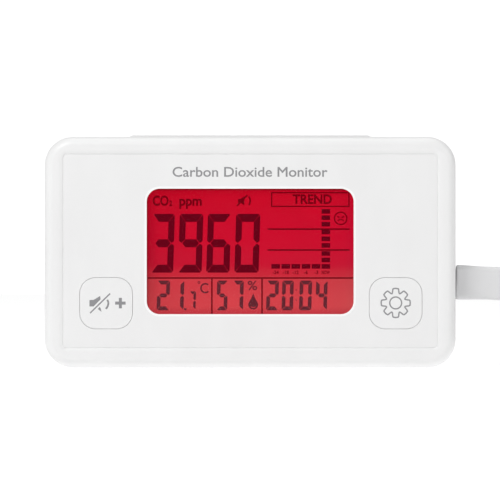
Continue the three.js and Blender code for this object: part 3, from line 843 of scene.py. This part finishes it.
def closed_ribbon(points, width):
    """The two edges of a line of that width drawn round a closed outline."""
    sides = ([], [])
    count = len(points)
    for i, (x, z) in enumerate(points):
        before, after = points[i - 1], points[(i + 1) % count]
        first = Vector((x - before[0], z - before[1])).normalized()
        second = Vector((after[0] - x, after[1] - z)).normalized()
        normal = Vector((first.y + second.y, -first.x - second.x)).normalized()
        reach = width / 2 / max(0.6, normal.dot(Vector((first.y, -first.x))))
        sides[0].append((x + normal.x * reach, z + normal.y * reach))
        sides[1].append((x - normal.x * reach, z - normal.y * reach))
    return [sides[0], list(reversed(sides[1]))]


def on_display(obj, look):
    """Gives a piece its look on the display."""
    return dress(obj, look, "housing", "display")


def segment(name, loops, look, back=0.0):
    """A sign on the display, back millimetres behind the others."""
    on_display(flat_print(name, loops, SEGMENT_Y + back), look)


def label(name, text, left, base, cap, width, bold, look):
    """Lettering on the display."""
    on_display(lettering(name, text, left, base, cap, SEGMENT_Y, width, bold), look)


def window_slab(name, grow, front, rear, edge, *steps):
    """A slab that is a little larger than the window, behind it."""
    wide, high = WINDOW_W + 2 * grow, WINDOW_H + 2 * grow
    return smooth(pillow(name, wide, high, WINDOW_R + grow, 0, WINDOW_Z, front, rear, edge, edge, *steps))


def display_digits():
    big = []
    places = [("3", -31.3, -23.8), ("9", -22.8, -14.8), ("6", -13.9, -6.0), ("0", -5.0, 3.2)]
    for digit, left, right in places:
        big += seven_segments(digit, left, right, 30.05, 48.6, 2.5, 2.1)
    segment("gas_reading", big, DARK_LOOK)
    row = []
    low, high = 18.15, 27.55
    places = [("2", -29.6, -25.3), ("5", -10.7, -7.0), ("7", -5.6, -2.0), ("2", 5.0, 9.1), ("0", 9.9, 13.8)]
    places += [("0", 15.4, 19.6), ("4", 20.6, 24.5), ("1", -24.6, -20.8)]
    for digit, left, right in places:
        row += seven_segments(digit, left, right, low, high, 1.25, 1.25, 0.12, 0.45)
    row += seven_segments("7", -19.3, -17.1, low + 0.2, 24.15, 0.85, 0.85, 0.1, 0.3)
    row.append(oblong(-20.85, -20.15, low, low + 0.7))
    row += [oblong(14.35, 14.7, z, z + 0.35) for z in (21.2, 24.4)]
    segment("lower_readings", row, ROW_LOOK)


def display_rules():
    half_line, rule_z = 0.23, 28.35
    low = WINDOW_Z - WINDOW_H / 2
    half = WINDOW_W / 2
    loops = [oblong(-half, half, rule_z - half_line, rule_z + half_line)]
    loops += [oblong(x - half_line, x + half_line, low, rule_z - half_line - 0.02) for x in (-12.1, 3.75)]
    loops += [oblong(5.5, 31.4, z - half_line, z + half_line) for z in (43.8, 37.2)]
    segment("display_rules", loops, LINE_LOOK, 0.01)


def trend_chart():
    heights = (49.4, 47.4, 45.35, 42.9, 40.75, 38.65, 36.1, 34.05, 32.0)
    blocks = [oblong(22.55, 25.25, z - 0.72, z + 0.72) for z in heights]
    blocks += [oblong(x - 1.36, x + 1.36, 31.3, 32.75) for x in (8.05, 11.25, 14.4, 17.65, 20.8)]
    segment("trend_bars", blocks, DARK_LOOK)
    segment("trend_box", frame_loops(6.6, 31.4, 50.8, 55.5, 0.38), FAINT_LOOK)
    label("trend_label", "TREND", 13.4, 51.85, 2.8, 12.4, 0.3, FAINT_LOOK)
    hours = [("24", 7.1, 1.9), ("18", 10.3, 1.9), ("12", 13.4, 1.9), ("6", 17.0, 1.2), ("3", 20.3, 1.2)]
    for hour, left, width in hours:
        label("hours_" + hour, "-" + hour, left, 29.6, 1.05, width, 0.25, LINE_LOOK)
    label("hours_now", "NOW", 22.6, 29.6, 1.05, 2.6, 0.25, LINE_LOOK)


def sad_face():
    x, z = 28.6, 47.2
    loops = closed_ribbon(circle(x, z, 1.95), 0.4)
    loops.append(ribbon(arc_points(x, z - 1.5, 1.15, 145, 35), 0.36))
    for side in (-1, 1):
        loops.append(ribbon([(x + side * 0.3 - 0.02, z + 0.25), (x + side * 1.05, z + 0.6)][::side], 0.4))
    segment("warning_face", loops, FAINT_LOOK)


def display_labels():
    base, cap = 51.3, 2.95
    label("gas_label", "CO", -30.8, base, cap, 5.0, 0.3, FAINT_LOOK)
    label("gas_label_2", "2", -25.6, base - 0.15, 1.6, 0.95, 0.4, FAINT_LOOK)
    label("gas_unit", "ppm", -22.4, base, cap, 7.1, 0.3, FAINT_LOOK)
    degree = [circle(-16.2, 26.95, 0.42, 16), list(reversed(circle(-16.2, 26.95, 0.2, 16)))]
    segment("celsius_ring", degree, ROW_LOOK)
    label("celsius_unit", "C", -15.8, 23.6, 3.1, 2.6, 0.1, ROW_LOOK)
    label("percent_unit", "%", -0.8, 24.6, 2.8, 3.0, 0.12, ROW_LOOK)


def drop_sign():
    x, low, radius, tip = 0.95, 18.4, 1.55, 23.5
    centre = low + radius
    right = arc_points(x, centre, radius, -90, 25, 14)
    outline = right + [(x + 0.62, 21.9), (x, tip), (x - 0.62, 21.9)]
    outline += [(2 * x - px, pz) for px, pz in reversed(right[1:])]
    shine = ribbon(arc_points(x, centre, radius * 0.62, -140, -40, 8), 0.22)
    segment("humidity_drop", [outline, shine], ROW_LOOK)


def mute_sign_on_display():
    """A loudspeaker with one sound wave, and a stroke through it."""
    x, z, k = -2.4, 52.75, 2.9 / 6
    points = [(-3, -1.2), (-1.4, -1.2), (1.1, -3), (1.1, 3), (-1.4, 1.2), (-3, 1.2)]
    speaker = [(x + px * k, z + pz * k) for px, pz in points]
    segment("mute_sign", [speaker, ribbon(arc_points(x + 0.1, z, 2.3, -36, 36), 0.5)], FAINT_LOOK)
    stroke = ribbon([(x - 1.8, z - 1.6), (x + 1.5, z + 1.8)], 0.5)
    segment("mute_sign_stroke", [stroke], FAINT_LOOK, -0.01)


on_display(window_slab("display_picture", 0.7, PICTURE_Y, LCD_Y, 0), PICTURE_LOOK)
display_digits()
display_rules()
trend_chart()
sad_face()
display_labels()
drop_sign()
mute_sign_on_display()
PANE_FRONT, PANE_REAR = -12.5, -11.5
pane = window_slab("display_pane", 0.8, PANE_FRONT, PANE_REAR, 0.08, 2, 16)
dress(pane, CLEAR_LOOK, "housing", "clear_plastic", "display_window")


# ---- Printing on the buttons and the panel ----
def gear_outline(x, z, tip, root):
    """A gear's outline: flat-topped teeth with sloped flanks and rounded gaps."""
    teeth = 8
    tooth_shape = [(-18.5, root + 0.1), (-12.2, tip - 0.22), (-9.8, tip), (0, tip + 0.05), (9.8, tip)]
    tooth_shape += [(12.2, tip - 0.22), (18.5, root + 0.1), (22.5, root - 0.06)]
    points = []
    for tooth in range(teeth):
        for turn, radius in tooth_shape:
            angle = math.radians(90 + 360 * tooth / teeth + turn)
            points.append((x + radius * math.cos(angle), z + radius * math.sin(angle)))
    return points


PRINT_Y = PANEL_Y - 0.005


def settings_print():
    x, z, line = BUTTON_X[1], BUTTON_Z + 0.1, 0.42
    loops = closed_ribbon(gear_outline(x, z, 4.55, 3.2), line) + closed_ribbon(circle(x, z, 1.87), line)
    dress(flat_print("settings_gear", loops, PRINT_Y), INK_LOOK, "settings_button", "panel_plastic")


def mute_print():
    """A loudspeaker struck through, with a clear margin beside the stroke, and a plus sign."""
    box = [(-50.7, 21.4), (-49.4, 21.45), (-47.35, 22.7), (-47.2, 21.65), (-49.4, 19.4), (-50.7, 19.4)]
    cone = [(-48.1, 18.6), (-47.45, 19.2), (-47.2, 18.9), (-46.9, 17.7)]
    wave = ribbon([(-45.1, 21.5), (-44.78, 20.8), (-44.76, 20.2), (-44.95, 19.45), (-45.5, 18.6)], 0.58)
    stroke = ribbon([(-50.5, 17.3), (-44.2, 23.45)], 0.42)
    x, z, arm, half = -40.95, 20.45, 1.65, 0.47
    corner = [(arm, -half), (arm, half), (half, half)]
    plus = []
    for quarter in range(4):
        turn = math.radians(90 * quarter)
        cos, sin = round(math.cos(turn)), round(math.sin(turn))
        plus += [(x + a * cos - b * sin, z + a * sin + b * cos) for a, b in corner]
    loops = [box, cone, wave, stroke, plus]
    dress(flat_print("mute_sign_print", loops, PRINT_Y), INK_LOOK, "mute_button", "panel_plastic")


settings_print()
mute_print()
title = lettering("panel_title", "Carbon Dioxide Monitor", -24.5, 60.35, 3.0, PRINT_Y, 48.9, 0.1)
dress(title, INK_LOOK, "housing", "panel_plastic")


# ---- USB lead ----
SIDE_X = CASE_W / 2
USB_Y, USB_Z, DROOP = -1.95, 27.0, math.radians(1.9)
FAR_Y, FAR_Z = 21.0, 15.5
COIL_X, COIL_Y = 115.0, 8.0

# The cable's route where it isn't coiled, in metres.
LEAD_IN = [
    (0.0974, -0.00195, 0.02592), (0.1015, -0.00195, 0.02575), (0.105, -0.00197, 0.02535),
    (0.1085, -0.002, 0.0245), (0.112, -0.002, 0.0229), (0.1155, -0.0019, 0.0206),
    (0.1188, -0.0012, 0.018), (0.1218, 0.0004, 0.0153), (0.1241, 0.0028, 0.0127),
    (0.1255, 0.0058, 0.0103), (0.1259, 0.0092, 0.0082), (0.1252, 0.0126, 0.0063),
    (0.1234, 0.0156, 0.0048), (0.1206, 0.0179, 0.0036), (0.1173, 0.0192, 0.0028),
    (0.1137, 0.0195, 0.00245),
]
TAIL = [
    (0.1373, 0.0065, 0.0135), (0.137, 0.01, 0.0138), (0.1359, 0.0136, 0.0143),
    (0.1338, 0.0168, 0.0149), (0.131, 0.0192, 0.0153), (0.1278, 0.0206, 0.0155), (0.1243, 0.021, 0.0155),
]


def ease(angle, start, end):
    """0 before start, 1 after end, with a smooth step between."""
    t = min(1, max(0, (angle - start) / (end - start)))
    return t * t * (3 - 2 * t)


# A coil of three layers of three turns. A lane is one turn's place across a layer.
# Angles are in degrees round the coil's centre and go on counting from turn to turn.
LANE_OUT = ((460, 550), (820, 910), (2455, 2535), (2815, 2895))
LANE_IN = ((1460, 1540), (1820, 1900))
LAYER_UP = ((1160, 1210), (2150, 2200))
FIRST_LANE, FIRST_LAYER, ENTRY_RADIUS = 15.75, 2.45, 11.6
ENTRY, ENTRY_END, EXIT, EXIT_END = 96.4, 190, 3158, 3236.15


def coil_point(angle):
    radius = ENTRY_RADIUS + (FIRST_LANE - ENTRY_RADIUS) * ease(angle, ENTRY, ENTRY_END)
    radius += CABLE_D * sum(ease(angle, *step) for step in LANE_OUT)
    radius -= CABLE_D * sum(ease(angle, *step) for step in LANE_IN)
    radius -= 0.4 * ease(angle, EXIT, EXIT_END)
    height = FIRST_LAYER + CABLE_D * sum(ease(angle, *step) for step in LAYER_UP)
    height += 4.05 * ease(angle, EXIT, EXIT_END)
    turn = math.radians(angle)
    place = (COIL_X + radius * math.cos(turn), COIL_Y + radius * math.sin(turn), height)
    return tuple(value * MM for value in place)


def lead_route():
    """The cable's points from the near plug, round the coil, to the far plug."""
    step = 15
    first = ENTRY + step
    count = int((EXIT_END - first) / step) + 1
    spacing = (EXIT_END - first) / count
    coil = [coil_point(first + spacing * i) for i in range(count)]
    return LEAD_IN + coil + TAIL


def lead_curve():
    """The whole cable as one curve that runs smoothly through its route."""
    points = lead_route()
    data = bpy.data.curves.new("usb_lead_cable", "CURVE")
    data.dimensions = "3D"
    data.bevel_depth = CABLE_D / 2 * MM
    data.bevel_resolution = 5
    data.resolution_u = 3
    data.use_fill_caps = True
    spline = data.splines.new("BEZIER")
    spline.bezier_points.add(len(points) - 1)
    for point, place in zip(spline.bezier_points, points):
        point.co = place
        point.handle_left_type = "AUTO"
        point.handle_right_type = "AUTO"
    return placed("usb_lead_cable", data)


def grip_rings(x0, x1, y, z, deep, tall, corner, edge, waist):
    """Rings of a plug's moulded grip along X, with rounded ends and a hollow waist for the fingers."""
    rings = []

    def ring(x, inset):
        rings.append(x_ring(x, y, z, deep - 2 * inset, tall - 2 * inset, corner - inset * 0.6))

    ring(x0, edge * 1.6)
    for out, along in reversed(list(arc(4))):
        ring(x0 + edge * (1 - along), edge * out)
    steps = 20
    for i in range(1, steps):
        t = i / steps
        ring(x0 + edge + (x1 - x0 - 2 * edge) * t, waist * math.sin(math.pi * t) ** 2)
    for out, along in arc(4):
        ring(x1 - edge * (1 - along), edge * out)
    ring(x1, edge * 1.6)
    return rings


def relief_rings(x0, x1, y, z):
    """A tapered strain relief along X, with grooves that let it bend and a mouth round the cable."""
    base, end = 2.9, 2.15
    length = x1 - x0
    profile = [(base * 0.6, x0), (base, x0 + 0.001)]
    pitch, groove = 1.9, 0.75
    count = int((length - 2.2) / pitch)
    at = x0 + 1.3
    for _ in range(count):
        radius = base + (end - base) * (at - x0) / length
        for along, depth in ((0, 0), (0.12, 0.42), (groove - 0.12, 0.42), (groove, 0)):
            profile.append((radius - depth, at + along))
        at += pitch
    profile += [(end + 0.06, x1 - 0.5), (end, x1 - 0.12), (end - 0.14, x1), (CABLE_D / 2 - 0.05, x1)]
    return lathe_rings(profile, "x", (0, y, z), 40)


def drooped(rings):
    """Turns points with the near plug, which droops a little about its socket's mouth."""
    cos, sin = math.cos(DROOP), math.sin(DROOP)
    turned = []
    for ring in rings:
        row = []
        for x, y, z in ring:
            dx, dz = x - SIDE_X, z - USB_Z
            row.append((SIDE_X + dx * cos + dz * sin, y, USB_Z - dx * sin + dz * cos))
        turned.append(row)
    return turned


def x_ring(x, y, z, deep, tall, radius, steps=8):
    return [(x, y + a, z + b) for a, _, b in rect_ring(deep, tall, radius, 0, 0, 0, steps)]


def z_ring(z, x, y, wide, deep, radius, steps=6):
    return [(x + a, y + b, z) for a, _, b in rect_ring(wide, deep, radius, 0, 0, 0, steps)]


USB_A_TIP, USB_A_MOUTH, USB_A_GRIP_END, USB_A_END = 85.0, 97.0, 117.0, 124.6


def far_shell():
    """The folded metal shell of the far plug: an open box with two windows in each broad face."""
    inside = USB_A_MOUTH - 1.3
    sizes = [(USB_A_TIP, 11.8, 4.3, 0.5)]
    sizes += [(x, 12, 4.5, 0.6) for x in (USB_A_TIP + 0.12, USB_A_MOUTH - 0.3)]
    outer = loft("usb_a_metal_shell", [x_ring(x, FAR_Y, FAR_Z, *size) for x, *size in sizes])
    hollow = [x_ring(x, FAR_Y, FAR_Z, 11.4, 3.9, 0.35) for x in (USB_A_TIP - 1, inside)]
    cut(outer, loft("hollow", hollow))
    windows = []
    for side in (-1, 1):
        y = FAR_Y + side * 2.6
        opening = [z_ring(z, USB_A_TIP + 5.2, y, 2.4, 2.3, 0.25) for z in (FAR_Z - 4, FAR_Z + 4)]
        windows.append(loft("window", opening))
    cut(outer, merged("windows", windows))
    return smooth(outer, 30)


def far_contacts():
    """Four spring contacts on the far plug's tongue."""
    contacts = []
    high = FAR_Z + 0.02
    for place, start in ((-3.5, 0.6), (-1, 1.6), (1, 1.6), (3.5, 0.6)):
        steps = [(start + 0.4, high - 0.06, 0.12), (start + 0.7, high, 0.16), (9, high, 0.16)]
        rings = [x_ring(USB_A_TIP + x, FAR_Y + place, z, 1, thick, 0.03, 2) for x, z, thick in steps]
        contacts.append(loft("contact", rings))
    return smooth(merged("usb_a_contacts", contacts))


def coil_tie():
    """A hook-and-loop band round the coil."""
    low, high = box_mm("cable_tie")
    middle, size = (low + high) / 2, high - low
    thick, radius = 0.6, 1.9
    deep, tall = size.y - thick, size.z - thick
    outer, inner = (
        rect_ring(deep + grow, tall + grow, radius + grow / 2, middle.y, middle.z, 0, 8)
        for grow in (thick, -thick)
    )
    hem = ((-1, 0.5), (-0.94, 0.06), (0.94, 0.06), (1, 0.5), (0.94, 0.94), (-0.94, 0.94))
    rings = []
    for (ya, _, za), (yb, _, zb) in zip(outer, inner):
        out, back = Vector((0, ya, za)), Vector((0, yb, zb))
        section = []
        for across, depth in hem:
            section.append(out.lerp(back, depth) + Vector((middle.x + across * size.x / 2, 0, 0)))
        rings.append(section)
    return smooth(loft("coil_tie", rings, closed=True))


def usb_lead():
    def add(obj, look, slot, *nodes):
        dress(obj, look, "usb_lead", slot, *nodes)

    def grip(name, rings, node):
        add(smooth(loft(name, rings)), GRIP_LOOK, "lead_plastic", node)

    near = grip_rings(65.45, 85.3, USB_Y, USB_Z, 7, 11, 1.6, 0.7, 0.25)
    grip("usb_plug_body", drooped(near), "usb_plug_grip")
    relief = relief_rings(85.6, 97.6, USB_Y, USB_Z)
    grip("usb_bend_relief", drooped(relief), "usb_strain_relief")
    add(coil_tie(), RUBBER_LOOK, "rubber", "cable_tie")
    far = grip_rings(USB_A_MOUTH, USB_A_GRIP_END, FAR_Y, FAR_Z, 15.5, 8, 1.8, 0.9, 0.4)
    grip("usb_a_body", far, "usb_a_grip")
    relief = relief_rings(USB_A_GRIP_END + 0.3, USB_A_END, FAR_Y, FAR_Z)
    grip("usb_a_bend_relief", relief, "usb_a_strain_relief")
    add(far_shell(), STEEL_LOOK, "steel", "usb_a_shell")
    add(far_contacts(), GOLD_LOOK, "gold_plating")
    cable = lead_curve()
    cable.data.materials.append(CABLE_LOOK)
    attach(cable, "usb_lead")
    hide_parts("usb_cable", "cable_coil", "usb_cable_tail")


usb_lead()


# ---- Screws in the back of the case ----
def case_screw(number):
    """A pan-head screw with a cross recess, down its well."""
    low, high = box_mm(f"case_screw_{number}")
    x, z = (low.x + high.x) / 2, (low.z + high.z) / 2
    radius = (high.x - low.x) / 2
    shank = 0.95
    top = high.y
    crown = [(radius * (1 - 0.16 * out), top - 0.5 * (1 - along)) for out, along in arc(5)]
    profile = [(0.2, low.y), (shank, low.y + 0.7), (shank, SCREW_SEAT), (radius - 0.05, SCREW_SEAT)]
    profile += [(radius, SCREW_SEAT + 0.1), *crown, (radius * 0.5, top)]
    screw = lathe(f"back_screw_{number}", profile, "y", (x, 0, z), 36)
    for wide, tall in ((radius * 1.15, 0.5), (0.5, radius * 1.15)):
        depths = ((0.62, top - 0.85), (1, top), (1.02, top + 1))
        cut(screw, loft("arm", [rect_ring(wide * k, tall * k, 0.08, x, z, y, 3) for k, y in depths]))
    return smooth(screw, 30)


for number in (1, 2, 3, 4):
    dress(case_screw(number), STEEL_LOOK, "housing", "steel", f"case_screw_{number}")


# ---- Looks of the CAD pieces that stay ----
CERAMIC_LOOK = moulded("chip_ceramic", rgb(52, 52, 56), 0.45, 0.25 * MM, 0.005 * MM, 0.2)
LCD_LOOK = clear_pane("lcd_glass", (0.55, 0.6, 0.58), 0.06, 1.5)
KEPT_LOOKS = {
    STEEL_LOOK: (
        "mute_switch settings_switch quartz_crystal infrared_detector usb_socket usb_plug_shell"
        " board_screw_1 board_screw_2 board_screw_3 board_screw_4 humidity_sensor"
    ),
    BLACK_LOOK: (
        "mute_switch_plunger settings_switch_plunger smoothing_capacitor buzzer gas_sensor_header"
        " usb_socket_tongue"
    ),
    CERAMIC_LOOK: "processor_chip display_driver_chip voltage_regulator",
    SHEET_LOOK: "lcd_holder diffuser_sheet reflector_sheet chamber_filter usb_a_tongue",
    BOARD_LOOK: "main_board gas_sensor_board",
    GOLD_LOOK: "optical_chamber",
    RUBBER_LOOK: "contact_strip",
    GUIDE_LOOK: "light_guide",
    LCD_LOOK: "lcd_glass",
    LAMP_LOOK: "backlight_lamp_1 backlight_lamp_2 backlight_lamp_3 infrared_lamp",
}
for look, names in KEPT_LOOKS.items():
    for name in names.split():
        for material_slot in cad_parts[name].material_slots:
            material_slot.material = look


# ---- Floor, light and surroundings ----
# How much light of its own the floor gives.
FLOOR_GLOW = 0.86


def studio_floor():
    """A pale flat floor all round the object, which glows a little so that it shows as white."""
    n = Nodes("floor_white")
    n.set(Base_Color=(0.25, 0.25, 0.25, 1), Roughness=0.9, Specular_IOR_Level=0.1)
    n.set(Emission_Color=(1, 1, 1, 1), Emission_Strength=FLOOR_GLOW)
    bm = bmesh.new()
    bm.faces.new([bm.verts.new((x, y, 0)) for x, y in ((-3, -2.5), (3, -2.5), (3, 2), (-3, 2))])
    floor = as_object("floor", bm)
    floor.data.materials.append(n.material)


def soft_light(name, place, size, power):
    """A round area light that faces the object."""
    data = bpy.data.lights.new(name, "AREA")
    data.shape = "DISK"
    data.size = size
    data.energy = power
    obj = placed(name, data)
    obj.location = place
    aim = Vector((0, 0, 0.04)) - Vector(place)
    obj.rotation_euler = aim.to_track_quat("-Z", "Y").to_euler()


def white_world():
    """A white background for the camera, and a softer, dimmer one for the light it gives."""
    world = bpy.data.worlds.new("studio")
    bpy.context.scene.world = world
    world.use_nodes = True
    tree = world.node_tree
    tree.nodes.clear()
    output = tree.nodes.new("ShaderNodeOutputWorld")
    path = tree.nodes.new("ShaderNodeLightPath")
    mix = tree.nodes.new("ShaderNodeMixShader")
    tree.links.new(path.outputs["Is Camera Ray"], mix.inputs["Fac"])
    for place, strength in ((1, WORLD_LIGHT), (2, WORLD_SHOWN)):
        sky = tree.nodes.new("ShaderNodeBackground")
        sky.inputs["Color"].default_value = (1, 1, 1, 1)
        sky.inputs["Strength"].default_value = strength
        tree.links.new(sky.outputs["Background"], mix.inputs[place])
    tree.links.new(mix.outputs["Shader"], output.inputs["Surface"])


WORLD_LIGHT, WORLD_SHOWN = 0.4, 1.1
studio_floor()
white_world()
soft_light("key", (-0.6, -0.72, 1.1), 0.6, 9.6)
soft_light("fill", (1.1, -0.3, 0.6), 0.8, 2.4)
soft_light("top", (0.1, 0.35, 1.2), 0.8, 2.2)
bpy.context.scene.view_settings.view_transform = "Standard"
bpy.context.scene.view_settings.look = "None"
